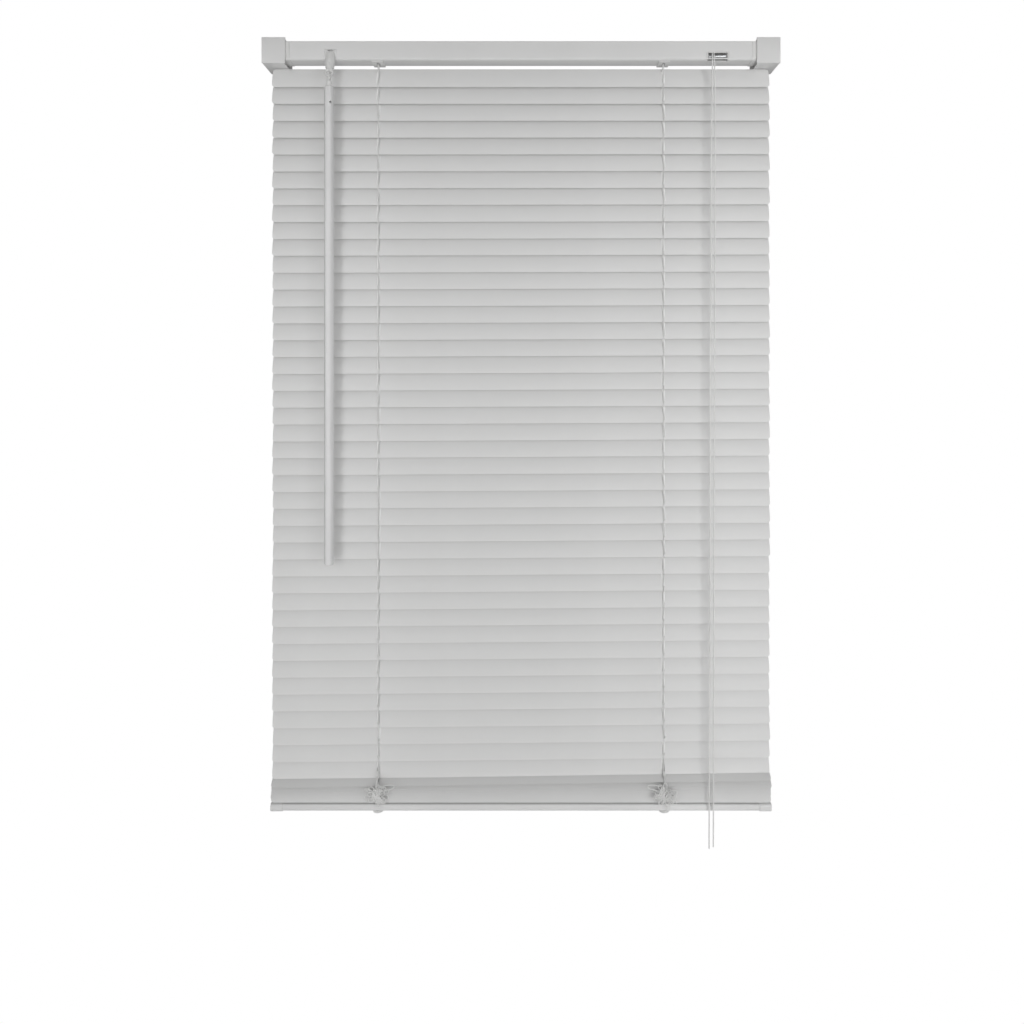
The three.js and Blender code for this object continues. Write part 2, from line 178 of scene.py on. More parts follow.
# ---- materials -------------------------------------------------------------------------------
def plastic(name, colour, roughness, grain, bump, streak=(1, 1, 1), mottle=0.03, metallic=0.0):
    """A dielectric or metal with a fine grain in its surface and a slow variation in its colour."""
    material = bpy.data.materials.new(name)
    material.use_nodes = True
    tree = material.node_tree
    shader = tree.nodes["Principled BSDF"]
    shader.inputs["Metallic"].default_value = metallic
    shader.inputs["Specular IOR Level"].default_value = 0.4
    link = tree.links.new
    place = tree.nodes.new("ShaderNodeTexCoord")
    stretch = tree.nodes.new("ShaderNodeMapping")
    stretch.inputs["Scale"].default_value = streak
    link(place.outputs["Object"], stretch.inputs["Vector"])
    fine = tree.nodes.new("ShaderNodeTexNoise")
    fine.inputs["Scale"].default_value = grain
    fine.inputs["Detail"].default_value = 4
    link(stretch.outputs["Vector"], fine.inputs["Vector"])
    raised = tree.nodes.new("ShaderNodeBump")
    raised.inputs["Strength"].default_value = bump
    raised.inputs["Distance"].default_value = 0.0004
    link(fine.outputs["Fac"], raised.inputs["Height"])
    link(raised.outputs["Normal"], shader.inputs["Normal"])
    slow = tree.nodes.new("ShaderNodeTexNoise")
    slow.inputs["Scale"].default_value = 14
    slow.inputs["Detail"].default_value = 3
    link(place.outputs["Object"], slow.inputs["Vector"])
    tone = tree.nodes.new("ShaderNodeValToRGB")
    tone.color_ramp.elements[0].position = 0.3
    tone.color_ramp.elements[1].position = 0.7
    tone.color_ramp.elements[0].color = (*[c * (1 - mottle) for c in colour], 1)
    tone.color_ramp.elements[1].color = (*[min(1, c * (1 + mottle)) for c in colour], 1)
    link(slow.outputs["Fac"], tone.inputs["Fac"])
    link(tone.outputs["Color"], shader.inputs["Base Color"])
    gloss = tree.nodes.new("ShaderNodeMapRange")
    gloss.inputs["To Min"].default_value = roughness - 0.06
    gloss.inputs["To Max"].default_value = roughness + 0.06
    link(fine.outputs["Fac"], gloss.inputs["Value"])
    link(gloss.outputs["Result"], shader.inputs["Roughness"])
    return material


def braid(name, colour, strands, twist):
    """String or cord whose surface winds round its own length."""
    material = bpy.data.materials.new(name)
    material.use_nodes = True
    tree = material.node_tree
    shader = tree.nodes["Principled BSDF"]
    shader.inputs["Roughness"].default_value = 0.85
    shader.inputs["Sheen Weight"].default_value = 0.2
    link = tree.links.new
    place = tree.nodes.new("ShaderNodeTexCoord")
    lean = tree.nodes.new("ShaderNodeMapping")
    lean.inputs["Rotation"].default_value = (0, math.radians(twist), math.radians(45))
    link(place.outputs["Object"], lean.inputs["Vector"])
    wave = tree.nodes.new("ShaderNodeTexWave")
    wave.inputs["Scale"].default_value = strands
    wave.inputs["Distortion"].default_value = 1.5
    wave.inputs["Detail"].default_value = 2
    link(lean.outputs["Vector"], wave.inputs["Vector"])
    raised = tree.nodes.new("ShaderNodeBump")
    raised.inputs["Strength"].default_value = 0.5
    raised.inputs["Distance"].default_value = 0.0002
    link(wave.outputs["Fac"], raised.inputs["Height"])
    link(raised.outputs["Normal"], shader.inputs["Normal"])
    tone = tree.nodes.new("ShaderNodeValToRGB")
    tone.color_ramp.elements[0].color = (*[c * 0.86 for c in colour], 1)
    tone.color_ramp.elements[1].color = (*colour, 1)
    link(wave.outputs["Fac"], tone.inputs["Fac"])
    link(tone.outputs["Color"], shader.inputs["Base Color"])
    return material


VINYL = plastic("vinyl", (0.78, 0.78, 0.775), 0.5, grain=260, bump=0.12, streak=(0.08, 1, 1), mottle=0.015)
RAIL_VINYL = plastic("rail_vinyl", (0.80, 0.80, 0.795), 0.45, grain=300, bump=0.1, streak=(0.1, 1, 1))
PAINT = plastic("white_paint", (0.77, 0.77, 0.765), 0.42, grain=420, bump=0.1, mottle=0.02)
WAND_PLASTIC = plastic("wand_plastic", (0.8, 0.8, 0.8), 0.25, grain=200, bump=0.05, streak=(1, 1, 0.05))
NYLON = plastic("nylon", (0.76, 0.76, 0.75), 0.5, grain=600, bump=0.15)
STEEL = plastic("steel", (0.55, 0.56, 0.57), 0.35, grain=500, bump=0.1, streak=(0.1, 1, 1), metallic=1.0)
STRING = braid("string", (0.93, 0.93, 0.92), strands=1400, twist=35)
CORD = braid("cord", (0.93, 0.93, 0.92), strands=900, twist=40)
FINISH = {
    "slat_vinyl": VINYL,
    "rail_vinyl": RAIL_VINYL,
    "white_paint": PAINT,
    "wand_plastic": WAND_PLASTIC,
    "nylon": NYLON,
    "steel": STEEL,
    "string": STRING,
}


# ---- mesh helpers ----------------------------------------------------------------------------
def piece(name, mesh_data, slot, material=None, sharp=40):
    """A new object for a mesh, smooth but for edges sharper than the angle."""
    mesh_data.materials.clear()
    mesh_data.materials.append(material or FINISH[slot])
    mesh_data.shade_smooth()
    mesh_data.set_sharp_from_angle(angle=math.radians(sharp))
    obj = bpy.data.objects.new(name, mesh_data)
    bpy.context.scene.collection.objects.link(obj)
    return obj


def mesh_of(name, vertices, faces):
    """A mesh from points in millimetres."""
    data = bpy.data.meshes.new(name)
    data.from_pydata([metres(p) for p in vertices], [], faces)
    bm = bmesh.new()
    bm.from_mesh(data)
    bmesh.ops.recalc_face_normals(bm, faces=bm.faces)
    bm.to_mesh(data)
    bm.free()
    data.update()
    return data


def smooth_path(points, steps):
    """A Catmull-Rom curve through points, with a number of steps from each to the next."""
    points = [Vector(p) for p in points]
    path = []
    for i in range(len(points) - 1):
        before = points[max(i - 1, 0)]
        a, b = points[i], points[i + 1]
        after = points[min(i + 2, len(points) - 1)]
        for step in range(steps):
            t = step / steps
            path.append(
                0.5
                * (
                    2 * a
                    + (b - before) * t
                    + (2 * before - 5 * a + 4 * b - after) * t * t
                    + (3 * a - before - 3 * b + after) * t**3
                )
            )
    return path + [points[-1]]


def tube_data(path, radius, sides, offset=0):
    """Points and faces of a closed round tube along a path, both ends domed a little."""
    vertices, faces = [], []
    along = (path[1] - path[0]).normalized()
    side = along.orthogonal().normalized()
    for i, point in enumerate(path):
        ahead = path[min(i + 1, len(path) - 1)] - path[max(i - 1, 0)]
        along = ahead.normalized()
        side = (side - along * side.dot(along)).normalized()
        other = along.cross(side)
        for k in range(sides):
            angle = 2 * math.pi * k / sides
            vertices.append(point + radius * (math.cos(angle) * side + math.sin(angle) * other))
    for i in range(len(path) - 1):
        for k in range(sides):
            a = i * sides + k
            b = i * sides + (k + 1) % sides
            faces.append([offset + a, offset + b, offset + b + sides, offset + a + sides])
    last = (len(path) - 1) * sides
    faces.append([offset + k for k in reversed(range(sides))])
    faces.append([offset + last + k for k in range(sides)])
    return vertices, faces


def tubes(name, routes, radius, sides=8, steps=1):
    """One mesh of several tubes, each through its own points."""
    vertices, faces = [], []
    for route in routes:
        path = smooth_path(route, steps)
        more, sheets = tube_data(path, radius, sides, len(vertices))
        vertices += more
        faces += sheets
    return mesh_of(name, vertices, faces)


def loft(name, sections):
    """A closed solid through sections that have the same number of points each."""
    count = len(sections[0])
    vertices = [point for section in sections for point in section]
    faces = []
    for i in range(len(sections) - 1):
        for k in range(count):
            a = i * count + k
            b = i * count + (k + 1) % count
            faces.append([a, b, b + count, a + count])
    last = (len(sections) - 1) * count
    faces.append(list(reversed(range(count))))
    faces.append([last + k for k in range(count)])
    return mesh_of(name, vertices, faces)


def upright_ring(x, y, z, radius, count):
    """A ring of points about an upright axis."""
    angles = [2 * math.pi * k / count for k in range(count)]
    return [(x + radius * math.cos(a), y + radius * math.sin(a), z) for a in angles]


def evaluated(obj):
    """The object's mesh with its modifiers applied."""
    bpy.context.view_layer.update()
    graph = bpy.context.evaluated_depsgraph_get()
    data = bpy.data.meshes.new_from_object(obj.evaluated_get(graph))
    obj.modifiers.clear()
    obj.data = data
    return obj


def bevelled(obj, width, segments=2, sharp=30):
    """Rounds an object's edges by a width in millimetres."""
    modifier = obj.modifiers.new("edges", "BEVEL")
    modifier.width = width * MM
    modifier.segments = segments
    modifier.limit_method = "ANGLE"
    modifier.angle_limit = math.radians(sharp)
    modifier.use_clamp_overlap = True
    evaluated(obj)
    obj.data.shade_smooth()
    obj.data.set_sharp_from_angle(angle=math.radians(35))
    return obj


def refined(name, node, slot, width):
    """A copy of a CAD node with its faces whole again and its edges rounded. It stands for the node."""
    data = nodes[node].data.copy()
    bm = bmesh.new()
    bm.from_mesh(data)
    bmesh.ops.remove_doubles(bm, verts=bm.verts, dist=1e-6)
    bmesh.ops.dissolve_limit(bm, angle_limit=math.radians(0.5), verts=bm.verts, edges=bm.edges)
    bm.to_mesh(data)
    bm.free()
    obj = piece(name, data, slot)
    bevelled(obj, width)
    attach(obj, nodes[node]["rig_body"])
    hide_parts(node)
    return obj


def riding(obj, body, *replaced):
    """The object moves with a CAD body, and stands for the CAD nodes that are named."""
    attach(obj, body)
    if replaced:
        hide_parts(*replaced)
    return obj


# ---- pull cords ------------------------------------------------------------------------------
PULL_ROUTES = (
    ((237.2, -30.2, -17.6), (237.2, -33.4, -17.2), (237.1, -36.6, -19.6), (236.9, -38.6, -24.5),
     (236.7, -39.4, -34), (236.0, -39.7, -70), (235.2, -39.8, -160), (234.6, -39.8, -300),
     (234.0, -39.8, -460), (233.6, -39.8, -620), (233.2, -39.8, -780), (232.8, -39.8, -900),
     (232.5, -39.8, -1003)),
    ((239.2, -30.2, -17.6), (239.2, -33.4, -17.2), (239.2, -36.6, -19.6), (239.3, -38.6, -24.5),
     (239.4, -39.4, -34), (239.9, -39.7, -70), (240.2, -39.8, -160), (239.8, -39.8, -300),
     (239.2, -39.8, -460), (238.8, -39.8, -620), (238.4, -39.8, -780), (238.0, -39.8, -900),
     (237.7, -39.8, -1001)),
)


def pull_cords():
    """Two cords that hang out of the lock's mouth, the first a little longer."""
    for number, route in enumerate(PULL_ROUTES, 1):
        path = smooth_path(route, 4)
        data = tubes(f"pull_cord_{number}", [path], PULL_DIAMETER / 2, sides=12)
        cord = piece(f"pull_cord_{number}", data, "string", CORD)
        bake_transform(cord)
        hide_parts("pull_cords")


# ---- slats -----------------------------------------------------------------------------------
def arc_height(y):
    """How high the crowned slat's middle surface is above its chord, at y across it."""
    half = SLAT_WIDTH / 2
    radius = (half * half + SLAT_CROWN**2) / (2 * SLAT_CROWN)
    return math.sqrt(radius * radius - y * y) - radius + SLAT_CROWN


def corner_inset(distance, radius):
    """How far a rounded corner has cut in, at a distance from the edge that it starts from."""
    if distance >= radius:
        return 0.0
    return radius - math.sqrt(radius**2 - (radius - distance) ** 2)


def slat_columns():
    """(x, half the slat's width, half the slot's length, in a slot or not) for each column."""
    half = SLAT_LENGTH / 2
    straight = SLOT_LENGTH / 2 - SLOT_CORNER
    columns = []
    for distance in (0, 0.25, 0.8, 1.7, 2.6, SLAT_CORNER, 40, 90):
        width = SLAT_WIDTH / 2 - corner_inset(distance, SLAT_CORNER)
        columns.append((-half + distance, width, straight, False))
    edge = SLOT_WIDTH / 2
    rounding = (0, 0.25, 0.6, SLOT_CORNER)
    for distance in rounding + tuple(SLOT_WIDTH - d for d in rounding[:0:-1]):
        near = min(distance, SLOT_WIDTH - distance)
        slot = SLOT_LENGTH / 2 - corner_inset(near, SLOT_CORNER)
        columns.append((-LADDER_X - edge + distance, SLAT_WIDTH / 2, slot, True))
    for x in (-LADDER_X + edge, -90, 0):
        columns.append((x, SLAT_WIDTH / 2, straight, False))
    mirrored = []
    for i in range(len(columns) - 2, -1, -1):
        x, width, slot, _ = columns[i]
        inside = i > 0 and columns[i - 1][3]
        mirrored.append((-x, width, slot, inside))
    return columns + mirrored


def slat_rows(width, slot):
    """The y of each row of points across a slat, from its front edge to its back one."""
    outer = [width, width - 0.5, (width + slot) / 2 + 0.6, slot]
    inner = [slot * 0.66, slot * 0.33]
    return [-y for y in outer] + [-y for y in inner] + [0] + inner[::-1] + outer[::-1]


def slat_data():
    """A crowned slat lying flat, its crown up and the middle of its chord at the origin."""
    columns = slat_columns()
    count = len(slat_rows(12, 8))
    half = SLAT_WIDTH / 2
    radius = (half * half + SLAT_CROWN**2) / (2 * SLAT_CROWN)
    vertices = []
    for face in (1, -1):
        shift = face * SLAT_THICK / 2
        for x, width, slot, _ in columns:
            for y in slat_rows(width, slot):
                rise = shift * math.sqrt(1 - (y / radius) ** 2)
                vertices.append((x, y + shift * y / radius, arc_height(y) + rise))
    under = len(columns) * count
    cells = set()
    for i in range(len(columns) - 1):
        for k in range(count - 1):
            if not (columns[i][3] and 3 <= k <= count - 5):
                cells.add((i, k))
    faces = []
    for i, k in sorted(cells):
        a = i * count + k
        quad = [a, a + count, a + count + 1, a + 1]
        faces.append(quad)
        faces.append([under + n for n in reversed(quad)])
        rims = {
            (i - 1, k): (a, a + 1),
            (i + 1, k): (a + count + 1, a + count),
            (i, k - 1): (a + count, a),
            (i, k + 1): (a + 1, a + count + 1),
        }
        for neighbour, (p, q) in rims.items():
            if neighbour not in cells:
                faces.append([p, q, under + q, under + p])
    return mesh_of("slat", vertices, faces)


def slat_place(number, noise):
    """Where slat 1, 2, ... hangs: its pivot, its slope up to the right, and its closing turn."""
    joint = joints[f"slat_{number:02d}_tilt"]
    axis = joint["axis"]
    slope = math.atan2(-axis[2], -axis[0])
    turn = CLOSED + math.radians(noise.uniform(-1.0, 1.0))
    shift = Vector((noise.uniform(-0.5, 0.5), 0, noise.uniform(-0.15, 0.15))) * MM
    place = Matrix.Translation(Vector(joint["pos_m"]) + shift) @ Matrix.Rotation(-slope, 4, "Y")
    return place @ Matrix.Rotation(turn, 4, "X")


RUNG_RADIUS = 0.4
RUNG_REACH = 13.6
RUNG_SAG = 1.6
RUNG_OVER = 0.7
RUNG_UNDER = 1.0


def rung(x, face):
    """A cross string between the ladder's front and back, on top of a slat or slack under it."""
    gap = face * (SLAT_THICK / 2 + RUNG_RADIUS + 0.05)
    sag = RUNG_SAG if face < 0 else 0
    route = []
    for step in range(-4, 5):
        share = step / 4
        y = share * SLAT_WIDTH / 2
        route.append((x, y, arc_height(y) + gap - sag * (1 - share**2)))
    return [(x, -RUNG_REACH, 0.1 * face)] + route + [(x, RUNG_REACH, 0.1 * face)]


def hanging_slats():
    """The slats share one mesh, and so do their rungs. Each pair rides on its own tilting body."""
    noise = random.Random(4)
    shape = slat_data()
    shape.materials.append(VINYL)
    shape.shade_smooth()
    shape.set_sharp_from_angle(angle=math.radians(50))
    routes = []
    for side, _ in SIDES:
        x = side * LADDER_X
        routes += [rung(x + side * RUNG_UNDER, -1), rung(x - side * RUNG_OVER, 1)]
    strings = tubes("rungs", routes, RUNG_RADIUS, sides=6)
    strings.materials.append(STRING)
    strings.shade_smooth()
    for number in range(1, HANGING + 1):
        body = f"slat_{number:02d}"
        place = slat_place(number, noise)
        for kind, data, slot in (("vinyl_slat", shape, "slat_vinyl"), ("rungs", strings, "string")):
            obj = bpy.data.objects.new(f"{kind}_{number:02d}", data)
            obj.matrix_world = place
            bpy.context.scene.collection.objects.link(obj)
            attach(obj, body)
            if kind == "vinyl_slat":
                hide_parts(body)


# ---- the raised slats ------------------------------------------------------------------------
STACK_TOP = -925.9
STACK_SLOPE = 0.0145
STACK_GAP = 0.6
# Each raised slat's front edge, as a share of the way down to the rail, its droop in degrees, and
# how far its front edge is set back in millimetres.
STACK = (
    (0, 30, 0), (0.22, 31, 0.3), (0.36, 36, 0.7), (0.50, 40, 0.9),
    (0.62, 43, 1.1), (0.74, 46, 1.2), (0.86, 49, 1.3), (1, 52, 1.0),
)


def blend_evenly(obj):
    """Bakes obj's placement into its mesh.
    """
    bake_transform(obj)


def raised_slats():
    """Eight slats rest on the bottom rail.

    The top one droops least. The lower ones are steeper, so their front edges show as bright strips.
    """
    noise = random.Random(11)
    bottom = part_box("bottom_rail")[1].z / MM + STACK_GAP
    half = SLAT_WIDTH / 2
    top_reach = half * math.cos(math.radians(STACK[0][1]))
    for number, (share, degrees, setback) in enumerate(STACK, 1):
        droop = math.radians(degrees)
        front = STACK_TOP + (bottom - STACK_TOP) * share
        y = PIVOT_Y - (top_reach - half * math.cos(droop) - setback)
        z = front + half * math.sin(droop)
        obj = piece(f"raised_slat_{number}", slat_data(), "slat_vinyl", sharp=50)
        shift = Vector((noise.uniform(-1.2, 1.2), y, z)) * MM
        place = Matrix.Translation(shift) @ Matrix.Rotation(-STACK_SLOPE * (1 - share), 4, "Y")
        obj.matrix_world = place @ Matrix.Rotation(droop, 4, "X")
        blend_evenly(obj)
        if number == 1:
            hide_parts("stacked_slats")


# ---- ladders, lift cords and bunched string --------------------------------------------------
LADDER_RADIUS = 0.42
BUNCH_RADIUS = 0.5
LIFT_RADIUS = 0.75
LADDER_HEAD = -24.2
LADDER_FORK = 9.0
LADDER_LAST = -915.6
CLOSED_REACH = 4.34
STACK_REACH = 13.9


def follow_rail(obj):
    """Bakes obj's placement into its mesh."""
    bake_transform(obj)


def ladder(side, name):
    """Two strings from the drum down beside the closed slats, then outside the raised ones."""
    noise = random.Random(20 + side)
    x = side * LADDER_X
    fork = LADDER_HEAD - LADDER_FORK
    steps = 44
    routes = []
    for face in (-1, 1):
        near = PIVOT_Y + face * CLOSED_REACH
        far = PIVOT_Y + face * STACK_REACH
        route = [(x, PIVOT_Y, LADDER_HEAD), (x, near, fork)]
        for i in range(1, steps):
            z = fork + (LADDER_LAST - fork) * i / steps
            route.append((x + noise.uniform(-0.25, 0.25), near, z))
        route += [(x, near, LADDER_LAST), (x, far, -918.6), (x, far, -934), (x, far, -949.6)]
        routes.append(route)
    obj = piece(name, tubes(name, routes, LADDER_RADIUS, sides=8, steps=3), "string", sharp=80)
    follow_rail(obj)
    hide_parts(name.replace("_strings", ""))


BUNCH_Z = -938.0
# A loop of string: how far along it each point is, and how far to one side, as shares.
LOOP = ((0, 0.4), (0.45, 0.9), (0.85, 1), (1, 0), (0.85, -1), (0.45, -0.9), (0, -0.4))


def rosette(x, face, count, noise):
    """Loops of slack string that spread from about one middle, before or behind the raised slats."""
    y = PIVOT_Y + face * (STACK_REACH + 0.3)
    loops = []
    for i in range(count):
        angle = 2 * math.pi * (i + noise.uniform(-0.3, 0.3)) / count
        reach = noise.uniform(8, 14)
        wide = noise.uniform(1.2, 2.6)
        deep = face * noise.uniform(0.6, 4.2)
        along = (math.cos(angle), math.sin(angle))
        middle = (x + 1.5 * along[0] + noise.uniform(-2, 2), BUNCH_Z + noise.uniform(-5, 5))
        loops.append([
            (
                middle[0] + along[0] * reach * share - along[1] * wide * aside,
                y + deep * (0.2 + 0.8 * share),
                middle[1] + along[1] * reach * share * 0.9 + along[0] * wide * aside,
            )
            for share, aside in LOOP
        ])
    return loops


def bunch(side, name):
    """The ladder's slack string: two rosettes, the strands that run into them, and one long loop."""
    noise = random.Random(31 + side)
    x = side * LADDER_X
    routes = rosette(x, -1, 38, noise) + rosette(x, 1, 8, noise)
    y = PIVOT_Y - 15
    for aside in (-1.3, -0.2, 1.1):
        routes.append([
            (x + aside, y + 9.5, -912), (x + aside * 0.6, y + 6, -919.5),
            (x + aside * 1.2, y + 1.5, -926.5), (x + aside * 2, y, -935),
        ])
    reach = -side * 22
    routes.append([
        (x, y, -930), (x + reach * 0.4, y - 2, -925), (x + reach * 0.85, y - 2.5, -923.5),
        (x + reach, y - 2.5, -926), (x + reach * 0.8, y - 2.5, -929),
        (x + reach * 0.3, y - 1, -932), (x, y, -935),
    ])
    obj = piece(name, tubes(name, routes, BUNCH_RADIUS, sides=8, steps=5), "string", sharp=80)
    follow_rail(obj)


def lift_cord(side, name):
    """A cord through the slats' slots, from the top to the bottom of the CAD strand's box."""
    x = side * LADDER_X - CORD_ASIDE
    low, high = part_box(name.replace("_strand", ""))
    route = [(x, PIVOT_Y, high.z / MM)]
    steps = 40
    noise = random.Random(50 + side)
    for i in range(1, steps):
        z = (high.z + (low.z - high.z) * i / steps) / MM
        route.append((x + noise.uniform(-0.2, 0.2), PIVOT_Y, z))
    route.append((x, PIVOT_Y, low.z / MM))
    obj = piece(name, tubes(name, [route], LIFT_RADIUS, sides=10, steps=2), "string", CORD, sharp=80)
    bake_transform(obj)
    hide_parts(name.replace("_strand", ""))


# ---- bottom rail -----------------------------------------------------------------------------
def rounded_section(x, low, high, radius, steps=6):
    """The outline of a rounded rectangle in the plane at x, from its low to its high (y, z)."""
    corners = (
        (high[0] - radius, high[1] - radius, 0),
        (low[0] + radius, high[1] - radius, 90),
        (low[0] + radius, low[1] + radius, 180),
        (high[0] - radius, low[1] + radius, 270),
    )
    points = []
    for y, z, start in corners:
        for step in range(steps + 1):
            angle = math.radians(start + 90 * step / steps)
            points.append((x, y + radius * math.cos(angle), z + radius * math.sin(angle)))
    return points


def rounded_bar(name, ends, low, high, radius, soft):
    """A rounded bar along x, its two end faces softened by a small radius."""
    sections = []
    for x, inset in ((ends[0], soft), (ends[0] + soft * 0.3, soft * 0.3), (ends[0] + soft, 0),
                     (ends[1] - soft, 0), (ends[1] - soft * 0.3, soft * 0.3), (ends[1], soft)):
        a = (low[0] + inset, low[1] + inset)
        b = (high[0] - inset, high[1] - inset)
        sections.append(rounded_section(x, a, b, radius - inset * 0.5))
    return loft(name, sections)


BOTTOM_RAIL_HEIGHT = 9.9
CAP_LENGTH = 15.0
CAP_PROUD = 0.7
PLUG_Y = -28.0
PLUG_PROFILE = (
    (4.2, 0.6), (6.6, 0.5), (6.6, -1.6), (6.3, -2.4),
    (5.6, -2.9), (4.4, -3.1), (2.0, -3.1), (1.7, -2.3),
)


def bottom_rail():
    """A rounded bar between two caps that stand a little proud of it, with two plugs below."""
    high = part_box("bottom_rail")[1] / MM
    end, top = high.x, high.z
    base = top - BOTTOM_RAIL_HEIGHT
    front, back = PIVOT_Y - SLAT_WIDTH / 2, PIVOT_Y + SLAT_WIDTH / 2
    inner_low = (front + CAP_PROUD, base + CAP_PROUD)
    inner_high = (back - CAP_PROUD, top - CAP_PROUD)
    data = rounded_bar("rail_body", (2 - end, end - 2), inner_low, inner_high, 2.4, 0.2)
    riding(piece("rail_body", data, "rail_vinyl"), "bottom_rail", "bottom_rail")
    for side, word in SIDES:
        ends = sorted((side * (end - CAP_LENGTH), side * end))
        name = f"rail_cap_{word}"
        data = rounded_bar(name, ends, (front, base), (back, top), 2.9, 0.5)
        riding(piece(name, data, "rail_vinyl"), "bottom_rail", "bottom_rail")
        plug(f"rail_plug_{word}", side * LADDER_X, base)


def plug(name, x, base):
    """The round button under the rail that holds a ladder's ends and the knotted lift cord."""
    sections = [upright_ring(x, PLUG_Y, base + z, radius, 32) for radius, z in PLUG_PROFILE]
    riding(piece(name, loft(name, sections), "nylon"), "bottom_rail", "bottom_rail")


# ---- headrail --------------------------------------------------------------------------------
def filleted(corners, steps=6):
    """A path through right-angled corners (y, z, radius), each rounded."""
    path = []
    for i, (y, z, radius) in enumerate(corners):
        p = Vector((y, z))
        if i in (0, len(corners) - 1) or radius == 0:
            path.append(p)
            continue
        arriving = (p - Vector(corners[i - 1][:2])).normalized()
        leaving = (Vector(corners[i + 1][:2]) - p).normalized()
        centre = p - arriving * radius + leaving * radius
        for step in range(steps + 1):
            angle = math.pi / 2 * step / steps
            path.append(centre + radius * (arriving * math.sin(angle) - leaving * math.cos(angle)))
    return path


def sheet_outline(path, thick):
    """The closed outline of sheet metal of this thickness that is bent along a path."""
    sides = ([], [])
    for i, p in enumerate(path):
        ahead = (path[min(i + 1, len(path) - 1)] - path[max(i - 1, 0)]).normalized()
        normal = Vector((-ahead.y, ahead.x)) * thick / 2
        sides[0].append(p + normal)
        sides[1].append(p - normal)
    return sides[0] + sides[1][::-1]


def cut(obj, boxes):
    """Cuts boxes, each from its low to its high corner in millimetres, out of an object."""
    vertices, faces = [], []
    for low, high in boxes:
        base = len(vertices)
        for x in (low[0], high[0]):
            for y in (low[1], high[1]):
                for z in (low[2], high[2]):
                    vertices.append((x, y, z))
        for quad in ((0, 1, 3, 2), (4, 6, 7, 5), (0, 4, 5, 1), (2, 3, 7, 6), (0, 2, 6, 4), (1, 5, 7, 3)):
            faces.append([base + k for k in quad])
    cutter = bpy.data.objects.new("cutter", mesh_of("cutter", vertices, faces))
    bpy.context.scene.collection.objects.link(cutter)
    modifier = obj.modifiers.new("cut", "BOOLEAN")
    modifier.operation = "DIFFERENCE"
    modifier.solver = "EXACT"
    modifier.object = cutter
    evaluated(obj)
    bpy.data.objects.remove(cutter)


TILTER_X = -236.0
TILTER_HALF = 7.5
TILTER_TOP = -14.2
LOCK_LEFT, LOCK_RIGHT = 231.5, 256.5
LOCK_TOP = -18.4
RAIL_HALF = 316.0
RAIL_FRONT, RAIL_BACK, RAIL_TOP, RAIL_BOTTOM = -37.3, -13.0, -3.7, -27.0
SHEET = 0.8
COLLAR_STATIONS = (286.6, 287, 292, 292.6)


def rail_path(grow):
    """The headrail's bent section, grown outwards on its three sides."""
    f, b = RAIL_FRONT + SHEET / 2 - grow, RAIL_BACK - SHEET / 2 + grow
    t, low = RAIL_TOP - SHEET / 2, RAIL_BOTTOM + SHEET / 2 - grow
    return [(f, t, 0), (f, low, 2.8), (b, low, 2.8), (b, t, 0)]


def headrail():
    """A channel with lips turned in along its top, cut out for what shows through, and two collars."""
    (f, t, _), (_, low, _), (b, _, _), _ = rail_path(0)
    lip, turned = 2.6, t - 1.9
    corners = [(f + lip, turned, 0), (f + lip, t, 0.9), (f, t, 0.9), (f, low, 2.8),
               (b, low, 2.8), (b, t, 0.9), (b - lip, t, 0.9), (b - lip, turned, 0)]
    outline = sheet_outline(filleted(corners, 7), SHEET)
    sections = [[(x, p.x, p.y) for p in outline] for x in (-RAIL_HALF, 0, RAIL_HALF)]
    obj = piece("headrail_channel", loft("headrail_channel", sections), "white_paint")
    front, below = RAIL_FRONT - 1, RAIL_BOTTOM - 1
    openings = [
        ((TILTER_X - TILTER_HALF, front, below), (TILTER_X + TILTER_HALF, RAIL_FRONT + 9, TILTER_TOP)),
        ((LOCK_LEFT, front, below), (LOCK_RIGHT, RAIL_FRONT + 5.5, LOCK_TOP)),
    ]
    for side, _ in SIDES:
        x = side * LADDER_X
        openings.append(((x - 4, PIVOT_Y - 9, below), (x + 4, PIVOT_Y + 9, RAIL_BOTTOM + 2)))
    cut(obj, openings)
    bevelled(obj, 0.15, segments=1, sharp=50)
    riding(obj, "root", "headrail")
    collar = sheet_outline(filleted(rail_path(0.45), 7), 0.9)
    for side, word in SIDES:
        name = f"rail_collar_{word}"
        sections = [[(side * x, p.x, p.y) for p in collar] for x in COLLAR_STATIONS]
        riding(bevelled(piece(name, loft(name, sections), "nylon"), 0.2), "root")


def ladder_cradles():
    """A nylon cradle under each drum, whose flange shows below the headrail's floor."""
    low = (PIVOT_Y - 11.4, RAIL_BOTTOM - 1.5)
    high = (PIVOT_Y + 10.0, RAIL_BOTTOM - 0.05)
    for side, word in SIDES:
        x = side * LADDER_X
        name = f"ladder_cradle_{word}"
        obj = piece(name, rounded_bar(name, (x - 7.2, x + 7.2), low, high, 0.6, 0.3), "nylon")
        slot_low = (x - 1.6, PIVOT_Y - 5.4, RAIL_BOTTOM - 3)
        cut(obj, [(slot_low, (x + 1.6, PIVOT_Y + 5.4, RAIL_BOTTOM + 1))])
        riding(obj, "root")


# ---- tilter, wand and small parts ------------------------------------------------------------
WAND_TOP = -63.0
WAND_ACROSS = 10.0
EYE_RADIUS = 3.9
# The neck's height above the wand's top, and its radius there.
NECK_PROFILE = ((-1, 2.4), (3.4, 2.4), (4.4, 2.9), (6.2, 2.9), (7.0, 2.2))
WORM_LEAN = math.radians(20)
WORM_OFFSET = 8.7
